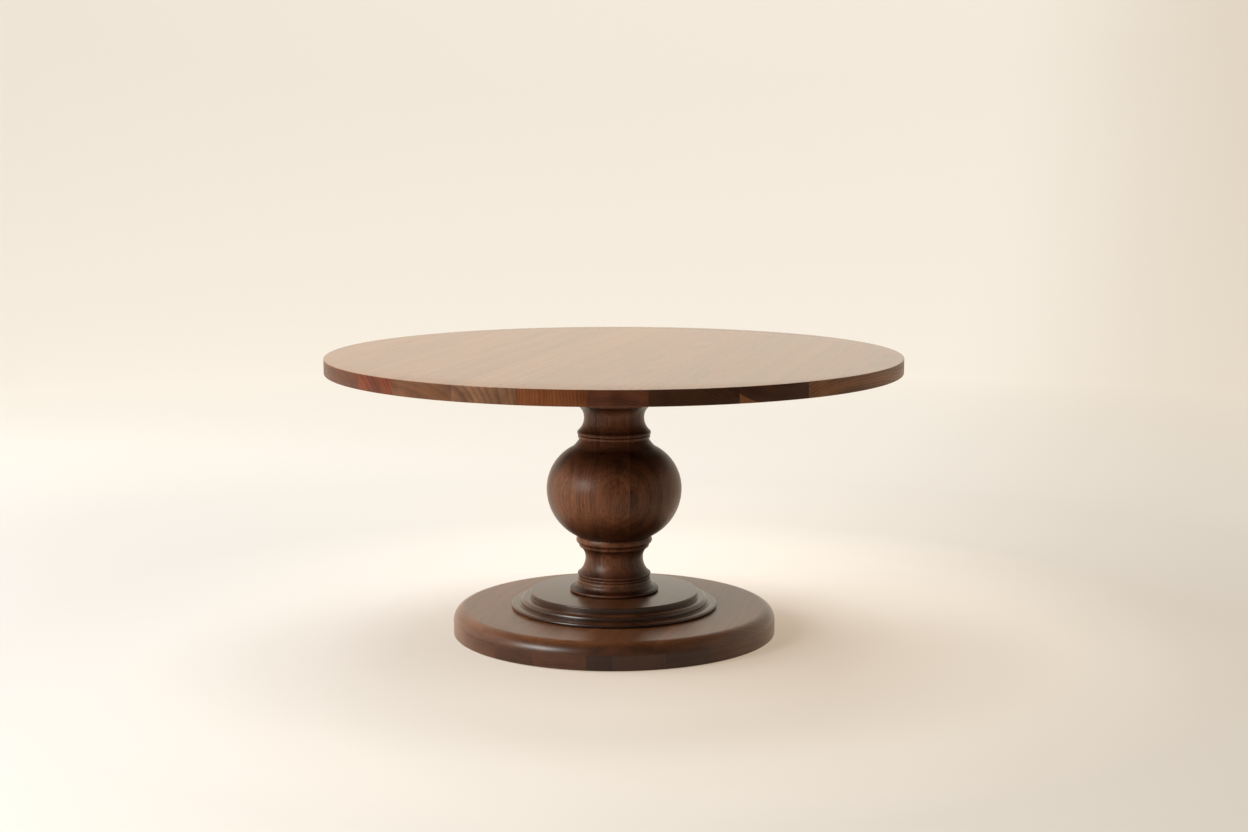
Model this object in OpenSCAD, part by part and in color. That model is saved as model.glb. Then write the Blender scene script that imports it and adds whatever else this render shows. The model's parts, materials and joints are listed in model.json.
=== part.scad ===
// Round pedestal table whose top tilts up on two pivot bolts and locks down with a spring catch.
// Origin: centre of the table on the floor. +Z up, boards and tilt axis along Y, catch on the -X side.
// All sizes are in millimetres.

/* [Overall] */
// Height of the top surface above the floor
table_h = 750; // [640:1:920]
// Diameter of the top
top_d = 1524; // [1200:1:1850]
// Diameter of the plinth
plinth_d = 864; // [760:1:1100]

/* [Top] */
// Thickness of the top's boards
top_t = 40; // [30:1:60]
// Relative widths of the boards, from the -X edge to the +X edge
board_shares = [122, 152, 121, 173, 163, 169, 134, 190, 138, 162]; // [20:1:300]
// Arris taken off both edges of the rim
rim_ease = 1.5; // [0.5:0.5:5]
// Width of the loose tongues between the boards
tongue_w = 24; // [12:1:40]
// Thickness of the loose tongues
tongue_t = 8; // [4:1:12]
// Distance that a tongue stops short of the rim
tongue_stop = 40; // [20:1:80]

/* [Battens] */
// Length of each batten
batten_l = 1120; // [900:1:1150]
// Width of each batten
batten_w = 50; // [36:1:70]
// Wood left below the bushes in each batten
batten_wall = 9; // [4:1:20]
// Depth of each batten at its tips
batten_tip_h = 18; // [10:1:24]
// Length of the taper at each end
batten_taper = 180; // [80:1:260]
// Distance between the batten screws
batten_screw_pitch = 140; // [100:1:200]
// Depth from the underside of the top to the screw seats
batten_seat = 14; // [10:1:16]
// Shank diameter of the batten screws
batten_screw_d = 5; // [4:0.5:6]
// Play of a screw along its slot, to each side
slot_play = 3; // [1:0.5:5]

/* [Tilt pivot] */
// Depth of the tilt axis below the top
pivot_drop = 22; // [19:0.5:32]
// Shoulder diameter of the pivot bolts
pivot_d = 16; // [12:0.2:20]
// Wall of the brass bushes
bush_wall = 3; // [2:0.5:5]
// Width of the bush flanges around the bushes
bush_flange_w = 5; // [3:0.5:7]
// Thickness of the bush flanges
bush_flange_t = 3; // [2:0.5:3]
// Gap between the head block and each batten
side_gap = 4; // [3.5:0.5:8]
// Thread diameter of the pivot bolts
pivot_thread_d = 12; // [8:0.5:14]
// Depth of the threaded inserts
insert_l = 42; // [25:1:60]
// Height of the tilted top's edge above the upper step
tilt_room = 14; // [8:1:40]

/* [Head block] */
// Width of the block along the tilt axis
block_w = 300; // [240:1:400]
// Thickness of the block
block_h = 44; // [36:1:60]
// Gap between the block and the top, filled by felt
block_gap = 1.5; // [1:0.1:3]
// Diameter of the felt pads under the top
rest_pad_d = 24; // [12:1:40]
// Diameter of the felt pads that stop the tilt
stop_pad_d = 18; // [8:1:20]

/* [Catch] */
// Width of the catch bolt
bolt_w = 14; // [10:0.5:20]
// Height of the catch bolt
bolt_h = 10; // [8:0.5:14]
// Distance that the bolt reaches into the block
bolt_bite = 13; // [8:0.5:18]
// Gap that the drawn bolt leaves to the block
bolt_clear = 2; // [1:0.5:5]
// Length of the bolt that is guided by the case
bolt_guide = 26; // [20:1:40]
// Room that the closed spring takes up
spring_room = 13; // [9:1:20]
// Wall of the case above, below and behind the bolt
case_wall = 6; // [4:0.5:8]
// Wall of the case at each side of the bolt
case_side = 11; // [6:0.5:16]
// Length of the mounting plate behind the case
plate_tail = 40; // [20:1:60]
// Width of the mounting plate at each side of the case
plate_margin = 12; // [10:1:20]
// Thickness of the mounting plate
catch_plate_t = 3; // [2:0.5:4]
// Diameter of the pull knob
knob_d = 20; // [14:1:30]
// Thickness of the strike plate
strike_t = 2.5; // [1.5:0.5:4]

/* [Column] */
// Diameter of the cap under the head block
cap_d = 280; // [250:1:340]
// Thickness of the cap
cap_h = 24.5; // [18:0.5:40]
// Height of the capital
capital_h = 99; // [88:1:130]
// Narrowest diameter of the capital
capital_waist_d = 160.4; // [120:0.1:180]
// Height of the upper collar
upper_collar_h = 17; // [14:1:24]
// Largest diameter of the bulb
bulb_d = 361; // [260:1:440]
// Height of the lower collar
lower_collar_h = 33; // [28:1:45]
// Height of the lower neck
lower_neck_h = 90; // [75:1:120]
// Narrowest diameter of the lower neck
neck_waist_d = 154.4; // [120:0.1:170]
// Height of the foot ring
foot_ring_h = 27; // [23:1:36]
// Largest diameter of the foot ring
foot_ring_d = 238; // [220:1:280]
// Diameter of the turned members that meet the necks
member_d = 196; // [180:1:210]
// Diameter of the tenons that join the sections
tenon_d = 60; // [46:1:80]
// Length of the tenons
tenon_l = 18; // [10:1:24]

/* [Steps] */
// Diameter of the lowest step
low_step_d = 551.6; // [480:0.1:700]
// Diameter of the middle step
mid_step_d = 501.2; // [440:0.1:540]
// Diameter of the upper step
high_step_d = 449.2; // [400:0.1:470]
// Height of the two lower steps together
low_step_h = 26; // [22:1:40]
// Height of the upper step
high_step_h = 15; // [10:1:30]

/* [Plinth] */
// Height of the plinth's top face above the floor
plinth_h = 71; // [60:1:100]
// Height at which the lower layer ends
plinth_split = 42; // [36:1:48]
// Radius of the rounded upper edge
plinth_round = 34; // [10:1:50]
// Relative widths of the upper layer's boards
upper_shares = [170, 170, 154, 143, 227]; // [20:1:300]
// Relative widths of the lower layer's staves
lower_shares = [102, 115, 115, 142, 66, 121, 96, 107]; // [20:1:300]
// Diameter of the glides
glide_d = 40; // [20:1:60]
// Thickness of the glides
glide_t = 2; // [1:0.5:5]

/* [Fixings] */
// Diameter of the tie rod through the column
rod_d = 16; // [12:0.2:22]
// Diameter of the washers on the tie rod
rod_washer_d = 46; // [40:1:56]
// Thickness of the washers on the tie rod
rod_washer_t = 3; // [2:0.5:5]
// Shank diameter of the screws from the block into the cap
block_screw_d = 6; // [4:0.5:8]
// Shank diameter of the screws from the plinth into the steps
platform_screw_d = 7; // [5:0.5:9]
// Distance of those screws from the middle step's edge
platform_inset = 70; // [40:1:110]

/* [Fits] */
// Gap of a glued joint
glue_gap = 0.1; // [0.02:0.02:0.3]
// Gap around a piece that is pressed or screwed in
fit_gap = 0.05; // [0.02:0.01:0.2]
// Gap around a loose tongue or tenon
loose_gap = 0.15; // [0.1:0.05:0.5]
// Radial clearance of the pivot bolts in the bushes
run_gap = 0.05; // [0.01:0.01:0.1]
// Clearance of the catch bolt in its case
slide_gap = 0.1; // [0.05:0.05:0.3]

/* [Hidden] */
$fn = 64;
wide_fn = 360;                          // finer circles for the top and the plinth
arc_steps = 10;
cut = 1;                                // how far a cut runs past a face

top_r = top_d / 2;
under_z = table_h - top_t;              // underside of the top
pivot_z = under_z - pivot_drop;
nose_r = pivot_drop - block_gap;        // the block is rounded about the tilt axis
block_top_z = under_z - block_gap;
block_z = block_top_z - block_h;
cap_z = block_z - cap_h;
capital_z = cap_z - capital_h;
upper_collar_z = capital_z - upper_collar_h;
low_step_z = plinth_h;
high_step_z = low_step_z + low_step_h;
foot_ring_z = high_step_z + high_step_h;
lower_neck_z = foot_ring_z + foot_ring_h;
lower_collar_z = lower_neck_z + lower_neck_h;
bulb_z = lower_collar_z + lower_collar_h;
bulb_h = upper_collar_z - bulb_z;       // the bulb takes up a change of height

// The tilt axis lies far enough out that the tilted top clears the bulb and the steps.
bulb_room = 10;
pivot_x = max(
    bulb_d / 2 - pivot_drop + bulb_room,
    top_r - (pivot_z - foot_ring_z - tilt_room));
block_x0 = -(pivot_x + pivot_drop);
block_x1 = pivot_x + nose_r;

// Joints of a board layer: widths in proportion to the shares, across the whole diameter.
function total(v, n) = n == 0 ? 0 : v[n - 1] + total(v, n - 1);
function seams(shares, d) =
    [for (i = [0:len(shares)]) d * (total(shares, i) / total(shares, len(shares)) - 0.5)];
top_seams = seams(board_shares, top_d);
upper_seams = seams(upper_shares, plinth_d);
lower_seams = seams(lower_shares, plinth_d);

// Battens
bush_d = pivot_d + 2 * bush_wall;
bush_flange_d = bush_d + 2 * bush_flange_w;
batten_h = pivot_drop + bush_d / 2 + batten_wall;
batten_y = block_w / 2 + side_gap + batten_w / 2;
batten_inner = batten_y - batten_w / 2;
batten_outer = batten_y + batten_w / 2;
batten_screw_r = batten_screw_d / 2;
batten_screw_bite = (top_t - tongue_t) / 2 - 2;
batten_washer_r = batten_screw_d * 1.6;
batten_washer_t = 1.5;
batten_head_r = batten_screw_d * 0.95;
batten_head_h = 3.2;
screw_margin = 50;                      // no batten screw nearer to a batten's tip
batten_screw_x = [for (k = [-12:12]) let (x = pivot_x + k * batten_screw_pitch)
    if (k != 0 && abs(x) < batten_l / 2 - screw_margin) x];

// Pivot bolts
pivot_washer_t = 2;
pivot_washer_r = pivot_d / 2 + 7;
pivot_head_r = pivot_d / 2 + 5;
pivot_head_h = 8;
insert_r = pivot_thread_d / 2 + 3.5;
side_play = 0.2;                        // between a batten and its washer

// Catch, measured from the block's end and the underside of the top
catch_gap = 8;                          // between the block and the case
catch_x = block_x0 - catch_gap;
bolt_travel = bolt_bite + bolt_clear;
case_l = bolt_guide + bolt_travel + spring_room + case_wall;
case_w = bolt_w + 2 * case_side;
case_h = bolt_h + 2 * case_wall;
catch_plate_l = case_l + plate_tail;
catch_plate_w = case_w + 2 * plate_margin;
case_z = under_z - catch_plate_t - case_h;
bolt_z = case_z + case_h / 2;
bolt_tip_x = block_x0 + bolt_bite;
bolt_l = bolt_bite + catch_gap + bolt_guide;
bolt_back_x = bolt_tip_x - bolt_l;
spring_back_x = catch_x - case_l + case_wall;
tail_r = bolt_h * 0.3;
tail_end_x = catch_x - case_l - 10;
knob_x = bolt_back_x + 10;
stem_r = 3;
knob_h = 14;
knob_z = case_z - 9 - knob_h;
catch_screw_r = 2;
catch_screw_l = 14;
catch_head_r = 4;
catch_head_h = 1.6;
spring_wire_r = 0.6;
spring_r = (tail_r + bolt_h / 2) / 2 + 0.1;
spring_turns = 6;
strike_w = bolt_w + 46;
strike_h = bolt_h + 10;
strike_screw_y = strike_w / 2 - 8;
strike_screw_l = 20;

// Column radii
cap_r = cap_d / 2;
bulb_r = bulb_d / 2;
member_r = member_d / 2;
tenon_r = tenon_d / 2;
rod_r = rod_d / 2;
rod_hole_r = rod_r + 1;
rod_washer_r = rod_washer_d / 2;
recess_r = rod_washer_r + 3;
nut_h = rod_d * 0.8;
rod_lip = 2;                            // the rod stands out of its nuts by this much
rod_foot_z = glide_t + 22;              // ceiling of the recess under the plinth
rod_head_z = block_top_z - rod_washer_t - nut_h - rod_lip - 1.5;

// Screws through the block and the plinth
block_screw_y = 80;
block_head_r = block_screw_d;
block_head_h = block_screw_d / 2;
block_screw_tip = cap_z + 5;
platform_r = mid_step_d / 2 - platform_inset;
platform_count = 6;
platform_head_r = platform_screw_d * 0.9;
platform_head_h = 4;
platform_seat = glide_t + 24;
platform_tip = high_step_z - 7;
glide_count = 6;
glide_ring_r = plinth_d / 2 - 52;

plinth_color = "#7a5a46";
stave_color = "#6b4a38";
column_color = "#5b3a28";
block_color = "#6f4e3a";
brass_color = "#b9913f";
steel_color = "#9a9da1";
felt_color = "#3b4a3a";
board_colors = ["#6b4634", "#74503c", "#6a5242", "#7d5a4a", "#7a4a2c",
                "#4f3223", "#452b1e", "#5a3f2e", "#6d5340", "#7d6350"];

BOARDS = len(board_shares);
UPPERS = len(upper_shares);
LOWERS = len(lower_shares);

// ---- Outlines ----

function reversed(p) = [for (i = [len(p) - 1:-1:0]) p[i]];

// Arc that leaves point a upright and ends at point b; it bulges or hollows as b is in or out of a.
function swell(a, b) = let (
    dr = a[0] - b[0],
    dz = b[1] - a[1],
    rad = (dr * dr + dz * dz) / (2 * abs(dr)),
    turn = 2 * atan2(abs(dr), abs(dz)))
    [for (i = [0:arc_steps]) let (t = turn * i / arc_steps)
        [a[0] - sign(dr) * rad * (1 - cos(t)), a[1] + sign(dz) * rad * sin(t)]];

// Half-round moulding on a cylinder of radius r, from z0 to z1, standing out by "out".
function bead(r, z0, z1, out) = [for (i = [0:arc_steps]) let (t = -90 + 180 * i / arc_steps)
    [r + out * cos(t), (z0 + z1) / 2 + (z1 - z0) / 2 * sin(t)]];

// Quarter-round upper edge of a cylinder of radius r and height h.
function rounded_edge(r, h, e) = [for (i = [0:arc_steps]) let (t = 90 * i / arc_steps)
    [r - e + e * cos(t), h - e + e * sin(t)]];

// Smooth bend from a to b that heads for c first.
function bend(a, c, b) = [for (i = [0:arc_steps]) let (t = i / arc_steps)
    (1 - t) * (1 - t) * a + 2 * t * (1 - t) * c + t * t * b];

// ---- Shared solids ----

// Section of the column, bored for the tie rod: a socket in its foot and a tenon on its head.
module turned(side, h, socket, tenon) {
    socket_r = tenon_r + loose_gap;
    socket_z = tenon_l + loose_gap;
    foot = socket
        ? [[rod_hole_r, socket_z], [socket_r, socket_z], [socket_r, glue_gap]]
        : [[rod_hole_r, glue_gap]];
    head = tenon > 0
        ? [[tenon_r, h], [tenon_r, h + tenon], [rod_hole_r, h + tenon]]
        : [[rod_hole_r, h]];
    rotate_extrude() polygon(concat(foot, side, head));
}

module slab(x0, x1, z0, z1, r) {
    translate([x0, -r - cut, z0]) cube([x1 - x0, 2 * (r + cut), z1 - z0]);
}

// Cylinder along +Y from y0 to y1.
module along_y(r, y0, y1) {
    translate([0, y0, 0]) rotate([-90, 0, 0]) cylinder(h = y1 - y0, r = r);
}

// Round-ended slot along X with its middle at the origin.
module slot(r, play, h) {
    translate([-play, -r, 0]) cube([2 * play, 2 * r, h]);
    for (s = [-1, 1]) translate([s * play, 0, 0]) cylinder(h = h, r = r);
}

module at_batten_screws() {
    for (x = batten_screw_x, s = [-1, 1]) translate([x, s * batten_y, 0]) children();
}

module at_platform_screws() {
    for (i = [0:platform_count - 1]) rotate([0, 0, 30 + i * 360 / platform_count])
        translate([platform_r, 0, 0]) children();
}

module at_block_screws() {
    for (x = [-1, 1], y = [-1, 1]) translate([x * block_screw_y, y * block_screw_y, 0]) children();
}

module at_catch_screws() {
    edge = 10;
    for (x = [catch_x - edge, catch_x - catch_plate_l + edge], s = [-1, 1])
        translate([x, s * (catch_plate_w - plate_margin) / 2, 0]) children();
}

// ---- Top ----

module top_blank() {
    rotate_extrude($fn = wide_fn) polygon([
        [0, under_z], [top_r - rim_ease, under_z], [top_r, under_z + rim_ease],
        [top_r, table_h - rim_ease], [top_r - rim_ease, table_h], [0, table_h]]);
}

// Half the length of the tongue in a joint.
function tongue_half(x) =
    sqrt(top_r * top_r - (abs(x) + tongue_w / 2) * (abs(x) + tongue_w / 2)) - tongue_stop;

module tongue(x, room) {
    half = tongue_half(x) + 4 * room;
    translate([x - tongue_w / 2 - room, -half, under_z + (top_t - tongue_t) / 2 - room])
        cube([tongue_w + 2 * room, 2 * half, tongue_t + 2 * room]);
}

module top_board(i) {
    x0 = top_seams[i] + glue_gap / 2;
    x1 = top_seams[i + 1] - glue_gap / 2;
    color(board_colors[i % len(board_colors)]) difference() {
        intersection() {
            top_blank();
            slab(x0, x1, under_z - cut, table_h + cut, top_r);
        }
        for (k = [max(i, 1):min(i + 1, BOARDS - 1)]) tongue(top_seams[k], loose_gap);
        for (x = batten_screw_x, s = [-1, 1]) if (x > x0 - batten_screw_d && x < x1 + batten_screw_d)
            translate([x, s * batten_y, under_z - cut])
                cylinder(h = batten_screw_bite + 2 * cut, r = batten_screw_r + fit_gap);
        if (catch_x > x0 && catch_x - catch_plate_l < x1) at_catch_screws()
            translate([0, 0, under_z - cut]) cylinder(h = catch_screw_l, r = catch_screw_r + fit_gap);
    }
}

module top_splines() {
    color("#8a6a4e") for (k = [1:BOARDS - 1]) tongue(top_seams[k], 0);
}

// ---- Battens ----

module batten(side) {
    half = batten_l / 2;
    color(block_color) difference() {
        translate([0, side * batten_y, under_z]) rotate([90, 0, 0])
            linear_extrude(height = batten_w, center = true) polygon([
                [-half, 0], [-half, -batten_tip_h], [batten_taper - half, -batten_h],
                [half - batten_taper, -batten_h], [half, -batten_tip_h], [half, 0]]);
        translate([pivot_x, side * batten_y, pivot_z])
            along_y(bush_d / 2 + fit_gap, -batten_w / 2 - cut, batten_w / 2 + cut);
        for (x = batten_screw_x) translate([x, side * batten_y, under_z]) {
            translate([0, 0, -batten_h]) slot(batten_screw_r + 0.5, slot_play, batten_h + cut);
            translate([0, 0, -batten_h - cut])
                slot(batten_washer_r + 1, slot_play, batten_h + cut - batten_seat);
        }
    }
}

module batten_screws() {
    head_z = under_z - batten_seat - batten_washer_t - 2 * fit_gap;
    color(steel_color) at_batten_screws() rotate_extrude() polygon([
        [0, head_z - batten_head_h], [batten_head_r - 1, head_z - batten_head_h],
        [batten_head_r, head_z - 1], [batten_head_r, head_z], [batten_screw_r, head_z],
        [batten_screw_r, under_z + batten_screw_bite - 2], [0, under_z + batten_screw_bite]]);
}

module batten_washers() {
    washer_z = under_z - batten_seat - batten_washer_t - fit_gap;
    color(steel_color) at_batten_screws() translate([0, 0, washer_z]) difference() {
        cylinder(h = batten_washer_t, r = batten_washer_r);
        translate([0, 0, -cut]) cylinder(h = batten_washer_t + 2 * cut, r = batten_screw_r + 0.2);
    }
}

// ---- Tilt pivot ----

module pivot_bush(side) {
    inner = batten_inner - fit_gap;
    color(brass_color) translate([pivot_x, 0, pivot_z]) mirror([0, side < 0 ? 1 : 0, 0]) difference() {
        union() {
            along_y(bush_d / 2, inner - bush_flange_t, batten_outer);
            along_y(bush_flange_d / 2, inner - bush_flange_t, inner);
        }
        along_y(pivot_d / 2 + run_gap, inner - bush_flange_t - cut, batten_outer + cut);
    }
}

module pivot_bolt(side) {
    shoulder = block_w / 2 + fit_gap;
    seat = batten_outer + pivot_washer_t + 2 * side_play;
    color(steel_color) translate([pivot_x, 0, pivot_z]) mirror([0, side < 0 ? 1 : 0, 0]) difference() {
        rotate([-90, 0, 0]) rotate_extrude() polygon([
            [0, shoulder - insert_l + 2], [pivot_thread_d / 2, shoulder - insert_l + 4],
            [pivot_thread_d / 2, shoulder], [pivot_d / 2, shoulder], [pivot_d / 2, seat],
            [pivot_head_r, seat], [pivot_head_r, seat + pivot_head_h - 1],
            [pivot_head_r - 1, seat + pivot_head_h], [0, seat + pivot_head_h]]);
        translate([0, seat + pivot_head_h - 5, 0]) rotate([-90, 0, 0])
            cylinder(h = 5 + cut, r = pivot_d * 0.32, $fn = 6);
    }
}

module pivot_washers() {
    color(steel_color) for (s = [0, 1]) mirror([0, s, 0]) translate([pivot_x, 0, pivot_z]) difference() {
        along_y(pivot_washer_r, batten_outer + side_play, batten_outer + side_play + pivot_washer_t);
        along_y(pivot_d / 2 + 0.2, batten_outer, batten_outer + pivot_washer_t + cut);
    }
}

module pivot_inserts() {
    color(brass_color) for (s = [0, 1]) mirror([0, s, 0]) translate([pivot_x, 0, pivot_z]) difference() {
        along_y(insert_r, block_w / 2 - insert_l, block_w / 2 - fit_gap);
        along_y(pivot_thread_d / 2 + fit_gap, block_w / 2 - insert_l - cut, block_w / 2 + cut);
    }
}

// ---- Catch, on the top ----

module catch_plate() {
    color(brass_color) difference() {
        translate([catch_x - catch_plate_l, -catch_plate_w / 2, under_z - catch_plate_t])
            cube([catch_plate_l, catch_plate_w, catch_plate_t - fit_gap]);
        at_catch_screws() translate([0, 0, under_z - catch_plate_t - cut])
            cylinder(h = catch_plate_t + 2 * cut, r = catch_screw_r + fit_gap);
    }
}

module catch_case() {
    half = bolt_w / 2 + slide_gap;
    color(brass_color) difference() {
        translate([catch_x - case_l, -case_w / 2, case_z]) cube([case_l, case_w, case_h - fit_gap]);
        translate([spring_back_x, -half, bolt_z - bolt_h / 2 - slide_gap])
            cube([case_l, 2 * half, bolt_h + 2 * slide_gap]);
        translate([catch_x - case_l - cut, 0, bolt_z]) rotate([0, 90, 0])
            cylinder(h = case_wall + 2 * cut, r = tail_r + slide_gap);
        translate([knob_x - bolt_travel / 2, 0, case_z - cut])
            slot(stem_r + 0.4, bolt_travel / 2, case_h / 2);
    }
}

module catch_screws() {
    top = under_z - catch_plate_t - fit_gap;
    color(brass_color) at_catch_screws() rotate_extrude() polygon([
        [0, top - catch_head_h], [catch_head_r - 1, top - catch_head_h], [catch_head_r, top - 0.6],
        [catch_head_r, top], [catch_screw_r, top], [catch_screw_r, under_z + catch_screw_l - 4],
        [0, under_z + catch_screw_l - 2]]);
}

// Coil of round wire along X, between the bolt's shoulder and the case's back wall.
module catch_spring() {
    sides = 8;
    per_turn = 16;
    rings = spring_turns * per_turn;
    x0 = spring_back_x + spring_wire_r + fit_gap;
    run = bolt_back_x - spring_back_x - 2 * (spring_wire_r + fit_gap);
    points = [for (i = [0:rings], k = [0:sides - 1]) let (
        a = 360 * i / per_turn,
        b = 360 * k / sides,
        r = spring_r + spring_wire_r * cos(b))
        [x0 + run * i / rings + spring_wire_r * sin(b), r * cos(a), bolt_z + r * sin(a)]];
    walls = [for (i = [0:rings - 1], k = [0:sides - 1]) let (n = (k + 1) % sides)
        [i * sides + k, i * sides + n, (i + 1) * sides + n, (i + 1) * sides + k]];
    ends = [[for (k = [sides - 1:-1:0]) k], [for (k = [0:sides - 1]) rings * sides + k]];
    color(steel_color) polyhedron(points = points, faces = concat(walls, ends), convexity = 4);
}

// ---- Catch bolt, sliding in the case ----

module catch_bolt() {
    bevel = bolt_h * 0.6;
    color(brass_color) difference() {
        union() {
            rotate([90, 0, 0]) linear_extrude(height = bolt_w, center = true) polygon([
                [bolt_back_x, bolt_z - bolt_h / 2], [bolt_tip_x - bevel, bolt_z - bolt_h / 2],
                [bolt_tip_x, bolt_z - bolt_h / 2 + bevel], [bolt_tip_x, bolt_z + bolt_h / 2],
                [bolt_back_x, bolt_z + bolt_h / 2]]);
            translate([tail_end_x, 0, bolt_z]) rotate([0, 90, 0])
                cylinder(h = bolt_back_x - tail_end_x + cut, r = tail_r);
        }
        translate([knob_x, 0, bolt_z - bolt_h / 2 - cut]) cylinder(h = 7 + cut, r = stem_r + fit_gap);
    }
}

module catch_knob() {
    knob_r = knob_d / 2;
    neck_r = stem_r + 1.5;
    color(brass_color) translate([knob_x, 0, 0]) rotate_extrude() polygon(concat(
        [[0, knob_z]], bead(knob_r - 4, knob_z, knob_z + knob_h - 4, 4),
        [[neck_r, knob_z + knob_h - 2], [neck_r, knob_z + knob_h], [stem_r, knob_z + knob_h],
         [stem_r, bolt_z - bolt_h / 2 + 6], [0, bolt_z - bolt_h / 2 + 6]]));
}

// ---- Head block ----

module head_block() {
    nose = [for (i = [0:arc_steps]) let (t = 90 * i / arc_steps)
        [pivot_x + nose_r * cos(t), pivot_z + nose_r * sin(t)]];
    mortise_w = bolt_w + 1.2;
    mortise_h = bolt_h + 1.2;
    color(block_color) difference() {
        rotate([90, 0, 0]) linear_extrude(height = block_w, center = true) polygon(concat(
            [[block_x0, block_z + glue_gap], [block_x1, block_z + glue_gap]], nose,
            [[block_x0, block_top_z]]));
        for (s = [0, 1]) mirror([0, s, 0]) translate([pivot_x, 0, pivot_z])
            along_y(insert_r + fit_gap, block_w / 2 - insert_l - cut, block_w / 2 + cut);
        translate([0, 0, block_z - cut]) cylinder(h = block_h + 2 * cut, r = rod_hole_r);
        translate([0, 0, rod_head_z]) cylinder(h = block_h, r = recess_r);
        at_block_screws() {
            translate([0, 0, block_z - cut])
                cylinder(h = block_h + 2 * cut, r = block_screw_d / 2 + fit_gap);
            translate([0, 0, block_top_z - block_head_h - 1]) cylinder(h = block_h, r = block_head_r + 0.3);
        }
        translate([block_x0 - cut, -strike_w / 2 - fit_gap, bolt_z - strike_h / 2 - fit_gap])
            cube([strike_t + fit_gap + cut, strike_w + 2 * fit_gap, strike_h + 2 * fit_gap]);
        translate([block_x0, -mortise_w / 2, bolt_z - mortise_h / 2])
            cube([bolt_bite + 4, mortise_w, mortise_h]);
        for (s = [-1, 1]) translate([block_x0, s * strike_screw_y, bolt_z]) rotate([0, 90, 0])
            cylinder(h = strike_screw_l + cut, r = catch_screw_r + fit_gap);
    }
}

module strike_plate() {
    color(brass_color) difference() {
        translate([block_x0, -strike_w / 2, bolt_z - strike_h / 2])
            cube([strike_t, strike_w, strike_h]);
        translate([block_x0 - cut, -bolt_w / 2 - 0.4, bolt_z - bolt_h / 2 - 0.4])
            cube([strike_t + 2 * cut, bolt_w + 0.8, bolt_h + 0.8]);
        for (s = [-1, 1]) translate([block_x0 - cut, s * strike_screw_y, bolt_z]) rotate([0, 90, 0]) {
            cylinder(h = strike_t + 2 * cut, r = catch_screw_r + fit_gap);
            cylinder(h = cut + catch_head_h, r = catch_head_r + fit_gap);
        }
    }
}

module strike_screws() {
    color(brass_color) for (s = [-1, 1]) translate([block_x0, s * strike_screw_y, bolt_z])
        rotate([0, 90, 0]) rotate_extrude() polygon([
            [0, fit_gap], [catch_head_r, fit_gap], [catch_head_r, catch_head_h - fit_gap],
            [catch_screw_r, catch_head_h - fit_gap], [catch_screw_r, strike_screw_l - 3],
            [0, strike_screw_l]]);
}

module block_screws() {
    seat = block_top_z - block_head_h - 1 + fit_gap;
    color(steel_color) at_block_screws() rotate_extrude() polygon([
        [0, block_screw_tip], [block_screw_d / 2, block_screw_tip + 4], [block_screw_d / 2, seat],
        [block_head_r, seat], [block_head_r, seat + block_head_h - 0.5],
        [block_head_r - 0.5, seat + block_head_h], [0, seat + block_head_h]]);
}

// Felt that the closed top rests on.
module rest_pads() {
    inset = 32;
    color(felt_color) for (x = [block_x0 + inset, pivot_x - 50], s = [-1, 1])
        translate([x, s * (block_w / 2 - 40), block_top_z + fit_gap])
            cylinder(h = block_gap - 0.2, r = rest_pad_d / 2);
}

// Felt that the tilted top comes to rest against.
module stop_pads() {
    face_h = pivot_z - block_z;
    color(felt_color) for (s = [-1, 1])
        translate([block_x1 + fit_gap, s * (block_w / 2 - 50), block_z + face_h / 2])
            rotate([0, 90, 0]) cylinder(h = block_gap - 0.2, r = stop_pad_d / 2);
}

// ---- Column ----

module column_cap() {
    ease = 3;
    color(column_color) translate([0, 0, cap_z]) difference() {
        turned(concat([[cap_r - ease, glue_gap]],
            bead(cap_r - ease, glue_gap, cap_h, ease)), cap_h, false, 0);
        at_block_screws() translate([0, 0, block_screw_tip - cap_z - 0.5])
            cylinder(h = cap_h, r = block_screw_d / 2 + fit_gap);
    }
}

module capital() {
    waist = [capital_waist_d / 2, 40];
    fillet_z = capital_h - 24;
    fillet_r = member_r + 6;
    head_r = member_r + 20;
    color(column_color) translate([0, 0, capital_z]) turned(concat(
        [[member_r, glue_gap], [member_r, 3], [member_r - 1.5, 4]],
        reversed(swell(waist, [member_r - 1.5, 4])),
        swell(waist, [fillet_r - 1.4, fillet_z]),
        [[fillet_r, fillet_z], [fillet_r, fillet_z + 6], [fillet_r + 2, fillet_z + 6]],
        reversed(swell([head_r, capital_h - 1], [fillet_r + 2, fillet_z + 7])),
        [[head_r, capital_h]]), capital_h, true, 0);
}

// Slim ring threaded on the bulb's tenon.
module upper_collar() {
    bead_top = upper_collar_h - 5;
    hole_r = tenon_r + loose_gap;
    color(column_color) translate([0, 0, upper_collar_z]) rotate_extrude() polygon(concat(
        [[hole_r, glue_gap], [member_r - 6, glue_gap]],
        bead(member_r - 5.5, 1, bead_top, 4),
        [[member_r - 3.5, bead_top], [member_r - 3.5, bead_top + 1],
         [member_r, bead_top + 1], [member_r, upper_collar_h], [hole_r, upper_collar_h]]));
}

module bulb() {
    belly = [bulb_r, bulb_h * 0.49];
    shoulder = [member_r + 18, bulb_h * 0.916];
    head = [member_r - 6, bulb_h];
    lead = [head[0] + 0.55 * (shoulder[0] - head[0]), shoulder[1] + 0.3 * (bulb_h - shoulder[1])];
    color(column_color) translate([0, 0, bulb_z]) turned(concat(
        reversed(swell(belly, [member_r, glue_gap])), swell(belly, shoulder),
        bend(shoulder, lead, head)), bulb_h, true, upper_collar_h + tenon_l);
}

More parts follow.
